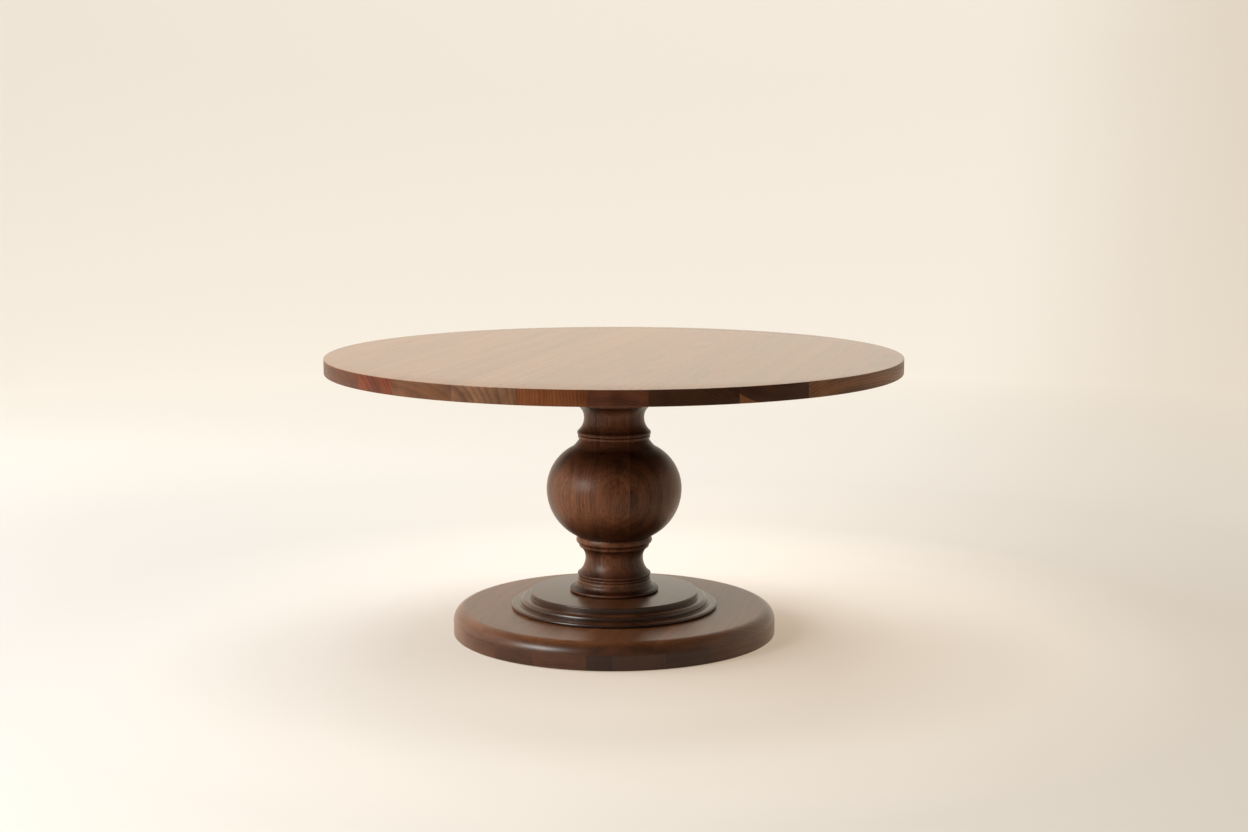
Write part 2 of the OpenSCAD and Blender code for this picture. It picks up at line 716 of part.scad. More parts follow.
module lower_collar() {
    ring_z = 11;
    fattest = [member_r + 3.7, ring_z + 0.41 * (lower_collar_h - ring_z)];
    color(column_color) translate([0, 0, lower_collar_z]) turned(concat(
        [[member_r - 11, glue_gap]],
        reversed(swell([member_r - 4, 8], [member_r - 10, 1])),
        [[member_r - 5, 8], [member_r - 5, ring_z]],
        reversed(swell(fattest, [member_r - 1, ring_z])),
        swell(fattest, [member_r, lower_collar_h])), lower_collar_h, true, tenon_l);
}

module lower_neck() {
    lip_z = 19;
    waist = [neck_waist_d / 2, lower_neck_h - 26];
    color(column_color) translate([0, 0, lower_neck_z]) turned(concat(
        [[member_r - 5.5, glue_gap], [member_r - 5.5, 2], [member_r - 4, 2], [member_r - 3, lip_z]],
        bead(member_r - 3, lip_z, lip_z + 8, 3.2),
        reversed(swell(waist, [member_r - 4.4, lip_z + 8])),
        swell(waist, [member_r - 11.2, lower_neck_h])), lower_neck_h, true, tenon_l);
}

module foot_ring() {
    foot_r = foot_ring_d / 2;
    nose_h = 10;
    color(column_color) translate([0, 0, foot_ring_z]) turned(concat(
        [[foot_r - nose_h / 2, glue_gap]],
        bead(foot_r - nose_h / 2, glue_gap, nose_h, nose_h / 2),
        reversed(swell([member_r - 2, foot_ring_h], [foot_r - nose_h / 2 - 2, nose_h]))),
        foot_ring_h, false, tenon_l);
}

// ---- Steps ----

module step_disc() {
    ease = 3;
    step_r = high_step_d / 2;
    color(plinth_color) translate([0, 0, high_step_z]) turned(concat(
        [[step_r + 1.4, glue_gap], [step_r + 1.4, 2], [step_r, 2]],
        rounded_edge(step_r, high_step_h, ease)), high_step_h, false, 0);
}

module step_base() {
    roll_h = 10;
    fillet_h = 3;
    roll_r = low_step_d / 2 - roll_h / 2;
    tier_z = roll_h + fillet_h;
    tier = [mid_step_d / 2, tier_z + 2];
    color(plinth_color) translate([0, 0, low_step_z]) difference() {
        turned(concat(
            [[roll_r, glue_gap]], bead(roll_r, glue_gap, roll_h, roll_h / 2),
            [[mid_step_d / 2 + 5, roll_h], [mid_step_d / 2 + 5, tier_z], [tier[0], tier_z]],
            swell(tier, [tier[0] - 11, low_step_h])), low_step_h, false, 0);
        at_platform_screws() translate([0, 0, -cut])
            cylinder(h = platform_tip - low_step_z + cut + 0.5, r = platform_screw_d / 2 + fit_gap);
    }
}

// ---- Plinth ----

module plinth_blank() {
    r = plinth_d / 2;
    arris = 2;
    rotate_extrude($fn = wide_fn) polygon(concat(
        [[0, glide_t], [r - arris, glide_t], [r, glide_t + arris]],
        rounded_edge(r, plinth_h, plinth_round), [[0, plinth_h]]));
}

module plinth_piece(x0, x1, z0, z1) {
    difference() {
        intersection() {
            plinth_blank();
            slab(x0 + glue_gap / 2, x1 - glue_gap / 2, z0, z1, plinth_d / 2);
        }
        cylinder(h = plinth_h + cut, r = rod_hole_r);
        translate([0, 0, -cut]) cylinder(h = rod_foot_z + cut, r = recess_r);
        at_platform_screws() {
            cylinder(h = plinth_h + cut, r = platform_screw_d / 2 + fit_gap);
            cylinder(h = platform_seat, r = platform_head_r + 1);
        }
    }
}

module plinth_board(i) {
    color(plinth_color)
        plinth_piece(upper_seams[i], upper_seams[i + 1], plinth_split + glue_gap, plinth_h + cut);
}

module plinth_stave(i) {
    color(stave_color) plinth_piece(lower_seams[i], lower_seams[i + 1], 0, plinth_split);
}

module glides() {
    color("#2c2a28") for (i = [0:glide_count - 1]) rotate([0, 0, i * 360 / glide_count])
        translate([glide_ring_r, 0, 0]) cylinder(h = glide_t - fit_gap, r = glide_d / 2);
}

module platform_screws() {
    head_z = platform_seat - fit_gap;
    color(steel_color) at_platform_screws() rotate_extrude() polygon([
        [0, head_z - platform_head_h], [platform_head_r - 1, head_z - platform_head_h],
        [platform_head_r, head_z - platform_head_h + 1], [platform_head_r, head_z],
        [platform_screw_d / 2, head_z], [platform_screw_d / 2, platform_tip - 4], [0, platform_tip]]);
}

// ---- Tie rod ----

module tie_rod() {
    z0 = rod_foot_z - rod_washer_t - nut_h - rod_lip;
    z1 = rod_head_z + rod_washer_t + nut_h + rod_lip;
    color(steel_color) rotate_extrude() polygon([
        [0, z0], [rod_r - 1.5, z0], [rod_r, z0 + 1.5], [rod_r, z1 - 1.5], [rod_r - 1.5, z1], [0, z1]]);
}

module rod_nut(z) {
    translate([0, 0, z]) difference() {
        cylinder(h = nut_h - 2 * fit_gap, r = rod_d * 0.87, $fn = 6);
        translate([0, 0, -cut]) cylinder(h = nut_h + 2 * cut, r = rod_r + fit_gap);
    }
}

module rod_washer(z) {
    translate([0, 0, z]) difference() {
        cylinder(h = rod_washer_t - fit_gap, r = rod_washer_r);
        translate([0, 0, -cut]) cylinder(h = rod_washer_t + 2 * cut, r = rod_r + 0.5);
    }
}

module tie_rod_nuts() {
    color(steel_color) {
        rod_washer(rod_foot_z - rod_washer_t);
        rod_nut(rod_foot_z - rod_washer_t - nut_h);
        rod_washer(rod_head_z + fit_gap);
        rod_nut(rod_head_z + rod_washer_t + fit_gap);
    }
}

for (i = [1:BOARDS]) top_board(i - 1);
top_splines();
batten(-1);  // batten_front
batten(1);  // batten_back
batten_screws();
batten_washers();
pivot_bush(-1);  // pivot_bush_front
pivot_bush(1);  // pivot_bush_back
catch_plate();
catch_case();
catch_screws();
catch_spring();
catch_bolt();
catch_knob();
head_block();
strike_plate();
strike_screws();
pivot_bolt(-1);  // pivot_bolt_front
pivot_bolt(1);  // pivot_bolt_back
pivot_washers();
pivot_inserts();
rest_pads();
stop_pads();
block_screws();
column_cap();
capital();
upper_collar();
bulb();
lower_collar();
lower_neck();
foot_ring();
step_disc();
step_base();
for (i = [1:UPPERS]) plinth_board(i - 1);
for (i = [1:LOWERS]) plinth_stave(i - 1);
platform_screws();
tie_rod();
tie_rod_nuts();
glides();
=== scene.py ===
"""Looks of a round tilt top pedestal table: a walnut plank top, a turned column and a rounded plinth."""
import json
import math

import bmesh
import bpy
import numpy as np
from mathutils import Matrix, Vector


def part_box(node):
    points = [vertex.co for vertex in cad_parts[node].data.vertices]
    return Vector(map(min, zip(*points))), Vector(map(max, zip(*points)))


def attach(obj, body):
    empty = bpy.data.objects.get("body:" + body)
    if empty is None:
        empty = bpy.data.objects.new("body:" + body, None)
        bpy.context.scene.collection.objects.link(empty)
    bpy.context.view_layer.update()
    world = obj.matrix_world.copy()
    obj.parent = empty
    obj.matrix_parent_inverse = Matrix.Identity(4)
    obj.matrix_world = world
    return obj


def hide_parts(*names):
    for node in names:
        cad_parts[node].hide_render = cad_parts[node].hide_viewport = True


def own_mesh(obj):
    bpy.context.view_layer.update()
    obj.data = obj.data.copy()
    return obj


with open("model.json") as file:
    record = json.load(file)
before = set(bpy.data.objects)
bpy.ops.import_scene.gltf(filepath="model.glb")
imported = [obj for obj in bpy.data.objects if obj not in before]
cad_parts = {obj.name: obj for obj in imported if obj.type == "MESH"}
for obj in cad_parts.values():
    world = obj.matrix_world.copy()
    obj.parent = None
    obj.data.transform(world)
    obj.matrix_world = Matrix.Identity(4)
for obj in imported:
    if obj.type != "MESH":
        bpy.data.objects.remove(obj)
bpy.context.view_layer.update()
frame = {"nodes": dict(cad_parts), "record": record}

MM = 0.001
SAME_POINT = 1e-6                       # points nearer than this are merged
NO_LENGTH = 1e-7                        # edges shorter than this are dissolved


# ---------------------------------------------------------------- meshes

def make_mesh(name, grid, loops_closed, caps, crease=30.0):
    """Mesh over a grid of points: each row of the array is a ring, joined to the next ring by quads.
    loops_closed joins a ring's last point to its first; caps closes both end rings with one face each."""
    rings, count = grid.shape[:2]
    steps = count if loops_closed else count - 1
    row, col = np.meshgrid(np.arange(rings - 1), np.arange(steps), indexing="ij")
    after = (col + 1) % count
    quads = np.stack([row * count + col, (row + 1) * count + col,
                      (row + 1) * count + after, row * count + after], axis=-1).reshape(-1, 4)
    faces = quads.tolist()
    if caps:
        faces.append(list(range(count)))
        faces.append([(rings - 1) * count + k for k in range(count - 1, -1, -1)])
    mesh = bpy.data.meshes.new(name)
    mesh.from_pydata(grid.reshape(-1, 3).tolist(), [], faces)
    return finish_mesh(name, mesh, crease)


def finish_mesh(name, mesh, crease):
    """Merges doubled points, points the faces outwards and shades curves smooth up to the crease angle."""
    work = bmesh.new()
    work.from_mesh(mesh)
    bmesh.ops.remove_doubles(work, verts=work.verts, dist=SAME_POINT)
    bmesh.ops.dissolve_degenerate(work, edges=work.edges, dist=NO_LENGTH)
    bmesh.ops.recalc_face_normals(work, faces=work.faces)
    work.to_mesh(mesh)
    work.free()
    mesh.shade_smooth()
    mesh.set_sharp_from_angle(angle=math.radians(crease))
    piece = bpy.data.objects.new(name, mesh)
    bpy.context.scene.collection.objects.link(piece)
    return piece


def arc(center, radius, start, end, steps):
    """Points of a circle about center, from the start angle to the end angle, in degrees."""
    turn = np.radians(np.linspace(start, end, steps + 1))
    return np.stack([center[0] + radius * np.cos(turn), center[1] + radius * np.sin(turn)], axis=1)


def swell(upright, end, steps=24):
    """Arc that leaves the point "upright" vertically and reaches "end": radius (dr^2 + dz^2) / 2 dr."""
    dr, dz = upright[0] - end[0], end[1] - upright[1]
    radius = (dr * dr + dz * dz) / (2 * abs(dr))
    turn = 2 * math.atan2(abs(dr), abs(dz)) * np.linspace(0, 1, steps + 1)
    return np.stack([upright[0] - np.sign(dr) * radius * (1 - np.cos(turn)),
                     upright[1] + np.sign(dz) * radius * np.sin(turn)], axis=1)


def bead(radius, low, high, out, steps=16):
    """Half ellipse that stands "out" from a cylinder between two heights."""
    turn = np.radians(np.linspace(-90, 90, steps + 1))
    middle, half = (low + high) / 2, (high - low) / 2
    return np.stack([radius + out * np.cos(turn), middle + half * np.sin(turn)], axis=1)


def bend(start, lead, end, steps=12):
    """Quadratic curve from start to end that sets out towards lead."""
    t = np.linspace(0, 1, steps + 1)[:, None]
    start, lead, end = np.array(start), np.array(lead), np.array(end)
    return (1 - t) ** 2 * start + 2 * t * (1 - t) * lead + t ** 2 * end


def outline(*parts):
    """Joins points and curves, in millimetres, into one outline, and drops points that repeat."""
    points = np.concatenate([np.atleast_2d(np.array(part, float)) for part in parts])
    keep = np.r_[True, np.linalg.norm(np.diff(points, axis=0), axis=1) > 1e-4]
    return points[keep]


def revolve(name, profile, foot, segments=176):
    """Solid of revolution about Z: each outline point (r, z) goes round as (r cos a, r sin a, foot + z)."""
    turn = np.linspace(0, 2 * np.pi, segments, endpoint=False)
    closed = np.vstack([profile, profile[:1]]) * MM
    grid = np.stack([closed[:, :1] * np.cos(turn), closed[:, :1] * np.sin(turn),
                     np.repeat(closed[:, 1:] + foot, segments, axis=1)], axis=-1)
    return make_mesh(name, grid, loops_closed=True, caps=False)


def plank(name, x0, x1, side, columns=40, rows=12):
    """Board cut from a round blank. Each ring of the blank's side, radius rho at height z, is followed from
    the plane x0 to the plane x1 by x = rho sin t, y = f rho cos t; f runs from 1 to -1 across the flat
    faces."""
    across = np.linspace(1, -1, rows + 1)[1:-1]
    above, below = np.full((rows - 1, 2), side[-1]), np.full((rows - 1, 2), side[0])
    rho, z = np.concatenate([side, above, side[::-1], below]).T
    f = np.r_[np.ones(len(side)), across, -np.ones(len(side)), -across]
    start = np.arcsin(np.clip(x0 / rho, -1, 1))
    end = np.arcsin(np.clip(x1 / rho, -1, 1))
    turn = start + (end - start) * np.linspace(0, 1, columns + 1)[:, None]
    grid = np.stack([rho * np.sin(turn), f * rho * np.cos(turn), np.broadcast_to(z, turn.shape)], axis=-1)
    return make_mesh(name, grid, loops_closed=True, caps=True)


def coil(name, node, wire, turns):
    """Round wire carried along a helix about X that fills the node's box. The helix angle a runs through
    every turn and b round the wire: (x(a) + w sin b, (R + w cos b) cos a, (R + w cos b) sin a)."""
    low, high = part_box(node)
    radius = (high[1] - low[1]) / 2 - wire
    along = np.linspace(0, 1, turns * 24 + 1)[:, None]
    turn = 2 * np.pi * turns * along
    section = np.linspace(0, 2 * np.pi, 12, endpoint=False)[None, :]
    reach = radius + wire * np.cos(section)
    grid = np.stack([low[0] + wire + (high[0] - low[0] - 2 * wire) * along + wire * np.sin(section),
                     (low[1] + high[1]) / 2 + reach * np.cos(turn),
                     (low[2] + high[2]) / 2 + reach * np.sin(turn)], axis=-1)
    return make_mesh(name, grid, loops_closed=True, caps=True, crease=60)


def eased_copy(node, width, angle=40.0):
    """Copy of a CAD node with its triangles merged and its hard edges rounded by a narrow bevel."""
    mesh = frame["nodes"][node].data.copy()
    work = bmesh.new()
    work.from_mesh(mesh)
    bmesh.ops.remove_doubles(work, verts=work.verts, dist=2 * SAME_POINT)
    bmesh.ops.dissolve_limit(work, angle_limit=math.radians(1.0), verts=work.verts, edges=work.edges)
    work.to_mesh(mesh)
    work.free()
    mesh.shade_smooth()
    mesh.set_sharp_from_angle(angle=math.radians(angle))
    piece = bpy.data.objects.new(node + "_eased", mesh)
    bpy.context.scene.collection.objects.link(piece)
    rounding = piece.modifiers.new("eased edges", "BEVEL")
    rounding.width = width
    rounding.segments = 2
    rounding.limit_method = "ANGLE"
    rounding.angle_limit = math.radians(angle)
    rounding.use_clamp_overlap = True
    rounding.harden_normals = False
    return piece


# ---------------------------------------------------------------- shader tools

def put(tree, socket, value):
    """Sets a socket, or links it where the value is another node's output."""
    if isinstance(value, bpy.types.NodeSocket):
        tree.links.new(value, socket)
    else:
        socket.default_value = value


def add(tree, kind, sockets=None, **settings):
    """New node with its settings; sockets maps an input's name or number to a value or to an output."""
    node = tree.nodes.new(kind)
    for key, value in settings.items():
        setattr(node, key, value)
    for key, value in (sockets or {}).items():
        put(tree, node.inputs[key], value)
    return node


def math_node(tree, operation, *values, clamp=False):
    """Result of one arithmetic node."""
    node = add(tree, "ShaderNodeMath", dict(enumerate(values)), operation=operation, use_clamp=clamp)
    return node.outputs[0]


def plus(tree, first, second, clamp=False):
    return math_node(tree, "ADD", first, second, clamp=clamp)


def minus(tree, first, second):
    return math_node(tree, "SUBTRACT", first, second)


def times(tree, first, second, clamp=False):
    return math_node(tree, "MULTIPLY", first, second, clamp=clamp)


def over(tree, first, second):
    return math_node(tree, "DIVIDE", first, second)


def vector_node(tree, operation, first, second):
    """Result of one vector node; SCALE takes a number as its second value."""
    key = "Scale" if operation == "SCALE" else 1
    return add(tree, "ShaderNodeVectorMath", {0: first, key: second}, operation=operation).outputs[0]


def stretched(tree, vector, x, y, z):
    """Vector with each of its axes multiplied."""
    return vector_node(tree, "MULTIPLY", vector, (x, y, z))


def point(tree, x=0.0, y=0.0, z=0.0):
    """Vector made of three values."""
    return add(tree, "ShaderNodeCombineXYZ", {0: x, 1: y, 2: z}).outputs[0]


def turned_by(tree, vector, turn):
    """Vector turned about the axes by three angles."""
    return add(tree, "ShaderNodeMapping", {"Vector": vector, "Rotation": turn}).outputs[0]


def fade(tree, value, start, end, low=0.0, high=1.0, kind="SMOOTHSTEP"):
    """low where value is at start, high where it is at end, and a smooth change between them."""
    return add(tree, "ShaderNodeMapRange", {0: value, 1: start, 2: end, 3: low, 4: high},
               interpolation_type=kind).outputs[0]


def noise(tree, vector, scale, detail=3.0, rough=0.5):
    """Noise node: its first output is a value around 0.5, and its Color is three such values."""
    return add(tree, "ShaderNodeTexNoise", {
        "Vector": vector, "Scale": scale, "Detail": detail, "Roughness": rough})


def grey(value):
    """Three equal values, for a grey colour or an even vector."""
    return (value, value, value)


def grey_output(tree, value):
    """Grey colour as bright as value."""
    return add(tree, "ShaderNodeCombineColor", {0: value, 1: value, 2: value}).outputs[0]


def mix_color(tree, factor, first, second, blend="MIX"):
    """First colour with the second laid over it by factor."""
    node = add(tree, "ShaderNodeMix", data_type="RGBA", blend_type=blend)
    for socket, value in ((node.inputs[0], factor), (node.inputs[6], first), (node.inputs[7], second)):
        put(tree, socket, value)
    return node.outputs[2]


def ramp(tree, factor, stops, interpolation="LINEAR"):
    """Colour picked by factor from stops of (place, colour)."""
    node = add(tree, "ShaderNodeValToRGB", {0: factor})
    node.color_ramp.interpolation = interpolation
    while len(node.color_ramp.elements) < len(stops):
        node.color_ramp.elements.new(1.0)
    for element, (place, color) in zip(node.color_ramp.elements, stops):
        element.position = place
        element.color = (*color, 1)
    return node.outputs[0]


def new_group(name, inputs, outputs):
    """Empty shader group; inputs and outputs are (name, socket type, default) and (name, socket type)."""
    group = bpy.data.node_groups.new(name, "ShaderNodeTree")
    for label, kind, default in inputs:
        socket = group.interface.new_socket(name=label, in_out="INPUT", socket_type=kind)
        if default is not None:
            socket.default_value = default
    for label, kind in outputs:
        group.interface.new_socket(name=label, in_out="OUTPUT", socket_type=kind)
    return group, add(group, "NodeGroupInput"), add(group, "NodeGroupOutput")


def new_material(name):
    """Material with an empty tree."""
    material = bpy.data.materials.new(name)
    material.use_nodes = True
    material.node_tree.nodes.clear()
    return material, material.node_tree


def show(tree, sockets):
    """Ends a material's tree in one shader with these sockets."""
    surface = add(tree, "ShaderNodeBsdfPrincipled", sockets)
    out = add(tree, "ShaderNodeOutputMaterial")
    tree.links.new(surface.outputs[0], out.inputs[0])


FLOAT, COLOR, VECTOR = "NodeSocketFloat", "NodeSocketColor", "NodeSocketVector"
FINISH_OUTPUTS = [("Color", COLOR), ("Roughness", FLOAT), ("Height", FLOAT)]


# ---------------------------------------------------------------- walnut

# Lightness through one year's ring, from the pale early wood to the dark late wood.
SEASON = [(0.0, grey(0.25)), (0.10, grey(0.62)), (0.45, grey(1.0)), (0.78, grey(0.62)), (0.95, grey(0.0)),
          (1.0, grey(0.22))]
RIPPLE = 0.0022                         # how far fine ripples move the rings
SAPWOOD_FACE, SAPWOOD_END = (0.34, 0.185, 0.095, 1), (0.62, 0.33, 0.16, 1)
OPEN_PORES = [(0.0, grey(0.0)), (0.63, grey(0.0)), (0.71, grey(1.0))]
PORE_COLOR = (0.012, 0.005, 0.003, 1)


def walnut_grain():
    """Solid timber with its grain along Y. The distance from a wandering pith line at (Pith X, Pith Z),
    divided by the ring width, counts the growth rings. Long fibres, short open pores and slow drifts of tone
    are noise stretched along Y."""
    group, given, result = new_group("walnut grain", [
        ("Vector", VECTOR, None), ("Pith X", FLOAT, 0.0), ("Pith Z", FLOAT, -0.1), ("Ring", FLOAT, 0.004),
        ("Wander", FLOAT, 0.02), ("Seed", FLOAT, 0.0), ("End", FLOAT, 0.0),
        ("End Tint", COLOR, (0.4, 0.32, 0.27, 1)), ("Sapwood", FLOAT, 9.0), ("Contrast", FLOAT, 1.0),
        ("End Contrast", FLOAT, 0.0), ("Season", FLOAT, 0.4), ("Dark", COLOR, (0.03, 0.01, 0.005, 1)),
        ("Light", COLOR, (0.2, 0.09, 0.04, 1)), ("Streak", FLOAT, 0.5)], FINISH_OUTPUTS)
    given = given.outputs
    seed = given["Seed"]
    shift = point(group, seed, times(group, seed, 3.7), times(group, seed, -2.3))
    place = vector_node(group, "ADD", given["Vector"], shift)

    # The rings wander slowly along the grain and ripple finely.
    drift = noise(group, stretched(group, place, 5.0, 1.1, 5.0), 1.0, detail=2.0).outputs["Color"]
    drift = vector_node(group, "SUBTRACT", drift, grey(0.5))
    drift = vector_node(group, "SCALE", drift, given["Wander"])
    ripple = noise(group, stretched(group, place, 40.0, 9.0, 40.0), 1.0, detail=2.0).outputs["Color"]
    ripple = vector_node(group, "SCALE", ripple, RIPPLE)
    moved = vector_node(group, "ADD", vector_node(group, "ADD", given["Vector"], drift), ripple)

    # Rings counted from the pith, some years wider than others.
    axes = add(group, "ShaderNodeSeparateXYZ", {0: moved})
    dx = minus(group, axes.outputs[0], given["Pith X"])
    dz = minus(group, axes.outputs[2], given["Pith Z"])
    radius = math_node(group, "SQRT", plus(group, times(group, dx, dx), times(group, dz, dz)))
    rings = over(group, radius, given["Ring"])
    uneven = noise(group, point(group, times(group, rings, 0.23), seed), 1.0, detail=1.0).outputs[0]
    rings = plus(group, rings, times(group, uneven, 2.4))
    season = ramp(group, math_node(group, "FRACT", rings), SEASON)
    years = noise(group, point(group, times(group, rings, 0.31), 0.0, seed), 1.0, detail=2.0).outputs[0]
    lines = noise(group, point(group, times(group, rings, 4.0), 0.0, seed), 1.0, detail=1.0).outputs[0]

    # Tone between Dark and Light: rings, thin lines in them, drifts and fibres, each about its own middle.
    fibre = noise(group, stretched(group, place, 430.0, 9.0, 430.0), 1.0, rough=0.65).outputs[0]
    tone = noise(group, stretched(group, place, 14.0, 1.6, 14.0), 1.0, rough=0.6).outputs[0]
    end = fade(group, given["End"], 0.25, 0.9)
    mixed = times(group, minus(group, season, 0.55), given["Season"])
    thin = times(group, given["Season"], 0.9)
    for part, amount in ((years, 1.2), (lines, thin), (tone, 1.3), (fibre, given["Streak"])):
        mixed = plus(group, mixed, times(group, minus(group, part, 0.5), amount))
    contrast = times(group, given["Contrast"], plus(group, 1.0, times(group, end, given["End Contrast"])))
    mixed = plus(group, 0.5, times(group, mixed, contrast), clamp=True)
    color = mix_color(group, mixed, given["Dark"], given["Light"])

    # Sapwood past its radius, darker end grain, and pores that open most in the late wood. Where the top's
    # boards count their whole rim as end grain, the darker rim is partly painted shade.
    sap = fade(group, minus(group, radius, given["Sapwood"]), -0.001, 0.003, kind="LINEAR")
    color = mix_color(group, sap, color, mix_color(group, end, SAPWOOD_FACE, SAPWOOD_END))
    color = mix_color(group, end, color, given["End Tint"], "MULTIPLY")
    pore = noise(group, stretched(group, place, 950.0, 42.0, 950.0), 1.0, detail=1.0).outputs[0]
    pore = times(group, ramp(group, pore, OPEN_PORES), minus(group, 1.25, season))
    color = mix_color(group, times(group, pore, 0.5, clamp=True), color, PORE_COLOR)
    put(group, result.inputs["Color"], color)
    put(group, result.inputs["Roughness"], plus(group, times(group, pore, 0.16), times(group, tone, 0.12)))
    put(group, result.inputs["Height"], minus(group, times(group, fibre, 0.35), pore))
    return group


LAYER = 0.078                           # thickness of the boards glued up for the column
FIRST_LAYER = -0.115                    # where the first glue line lies across the column
GLUE_LINE = 0.006                       # width of a glue line, as a share of a layer
PITH_ASIDE, PITH_BEFORE = 0.4, 0.5      # how far apart the layers' piths can lie, aside and in front
# Each layer from the left: half its tone, and where its pith lies in those two reaches.
LAYERS = [(0.50, 0.45, 0.60), (0.48, 0.15, 0.20), (0.56, 0.50, 0.53), (0.44, 0.44, 0.50), (0.50, 0.80, 0.30)]


def glued_layers():
    """Thick boards set upright and glued side by side along X: each has its own pith, figure and tone, and a
    thin dark glue line parts them."""
    group, given, result = new_group("glued layers", [("Vector", VECTOR, None), ("Seed", FLOAT, 0.0)], [
        ("Pith X", FLOAT), ("Pith Z", FLOAT), ("Seed", FLOAT), ("Shade", FLOAT), ("Line", FLOAT)])
    across = add(group, "ShaderNodeSeparateXYZ", {0: given.outputs["Vector"]}).outputs[0]
    step = over(group, minus(group, across, FIRST_LAYER), LAYER)
    number = math_node(group, "FLOOR", step)
    choice = over(group, plus(group, number, 1.5), len(LAYERS))
    stops = [(index / len(LAYERS), values) for index, values in enumerate(LAYERS)]
    parts = add(group, "ShaderNodeSeparateColor", {0: ramp(group, choice, stops, "CONSTANT")})
    middle = plus(group, times(group, plus(group, number, 0.5), LAYER), FIRST_LAYER)
    aside = minus(group, times(group, parts.outputs[1], PITH_ASIDE), PITH_ASIDE / 2)
    line = math_node(group, "COMPARE", math_node(group, "FRACT", step), 0.0, GLUE_LINE)
    put(group, result.inputs["Pith X"], plus(group, middle, aside))
    put(group, result.inputs["Pith Z"], times(group, parts.outputs[2], -PITH_BEFORE))
    put(group, result.inputs["Seed"], plus(group, given.outputs["Seed"], times(group, number, 2.3)))
    put(group, result.inputs["Shade"], times(group, parts.outputs[0], 2.0))
    put(group, result.inputs["Line"], line)
    return group


GRAIN, GLUED_LAYERS = walnut_grain(), glued_layers()
ALONG_X = (0, 0, math.radians(90))      # turns a board so that its grain, made along Y, runs along X
UPRIGHT = (math.radians(90), 0, 0)      # turns a board so that its grain, made along Y, stands upright
GLUE_TURN = (0, 0, math.radians(-15))   # turns the column's glue lines a little from those of the top
FINISH_IOR = 1.20                       # thin hand-rubbed satin finish
AMBER = (1.0, 0.94, 0.84, 1)            # the finish warms the wood, most where it is seen at a low angle
GLUE_COLOR = (0.01, 0.004, 0.002, 1)
RIM_DULLING = 0.75                      # share of the gloss that end grain soaks up round the rim
RIM_ROUGHNESS = 0.16                    # how much rougher the end grain is there


def walnut(name, dark, light, pith=(0.0, -0.1), ring=0.004, wander=0.02, seed=0.0, streak=0.5, rough=0.33,
           end_tint=(0.4, 0.32, 0.27), end_contrast=0.3, sapwood=9.0, contrast=1.0, season=0.4, gloss=1.0,
           polish=0.20, coat_ior=1.35, along="Y"):
    """Satin walnut. end_tint darkens the end grain, which takes up more finish; on a board of the top it
    darkens the whole rim, long grain too, and there it is partly painted shade on the upright rim below the
    lit top face. sapwood is how far from the pith the pale wood begins. along is the way of the grain: Y, X,
    "rim" for a board of the top, or "column" for thick boards set upright and glued side by side."""
    material, tree = new_material(name)
    coordinates = add(tree, "ShaderNodeTexCoord")
    place = coordinates.outputs["Object"]
    facing = add(tree, "ShaderNodeSeparateXYZ", {0: coordinates.outputs["Normal"]})
    end = math_node(tree, "ABSOLUTE", facing.outputs[{"X": 0, "Y": 1}.get(along, 2)])
    # On a board of the top the whole rim takes the end tint: darker end grain, and painted shade on the
    # upright rim.
    if along == "rim":
        end = minus(tree, 1.0, end)
    for turn in {"X": [ALONG_X], "column": [GLUE_TURN, UPRIGHT]}.get(along, []):
        place = turned_by(tree, place, turn)
    wood = add(tree, "ShaderNodeGroup", {
        "Vector": place, "Pith X": pith[0], "Pith Z": pith[1], "Ring": ring, "Wander": wander, "Seed": seed,
        "End": end, "Dark": (*dark, 1), "Light": (*light, 1), "Streak": streak, "End Tint": (*end_tint, 1),
        "Sapwood": sapwood, "Contrast": contrast, "End Contrast": end_contrast, "Season": season},
        node_tree=GRAIN)
    color = wood.outputs["Color"]
    roughness = plus(tree, rough, wood.outputs["Roughness"])
    coat = gloss
    if along == "column":
        layers = add(tree, "ShaderNodeGroup", {"Vector": place, "Seed": seed}, node_tree=GLUED_LAYERS)
        for key in ("Pith X", "Pith Z", "Seed"):
            put(tree, wood.inputs[key], layers.outputs[key])
        color = mix_color(tree, 1.0, color, grey_output(tree, layers.outputs["Shade"]), "MULTIPLY")
        color = mix_color(tree, times(tree, layers.outputs["Line"], 0.6), color, GLUE_COLOR)
    if along == "rim":
        coat = minus(tree, gloss, times(tree, end, RIM_DULLING * gloss))
        roughness = plus(tree, roughness, times(tree, end, RIM_ROUGHNESS))
    bump = add(tree, "ShaderNodeBump", {
        "Height": wood.outputs["Height"], "Strength": 0.12, "Distance": 0.4 * MM})
    show(tree, {"Base Color": color, "IOR": FINISH_IOR, "Roughness": roughness, "Coat Weight": coat,
                "Coat Roughness": polish, "Coat IOR": coat_ior, "Coat Tint": AMBER,
                "Normal": bump.outputs[0]})
    return material


# ---------------------------------------------------------------- fittings' finishes

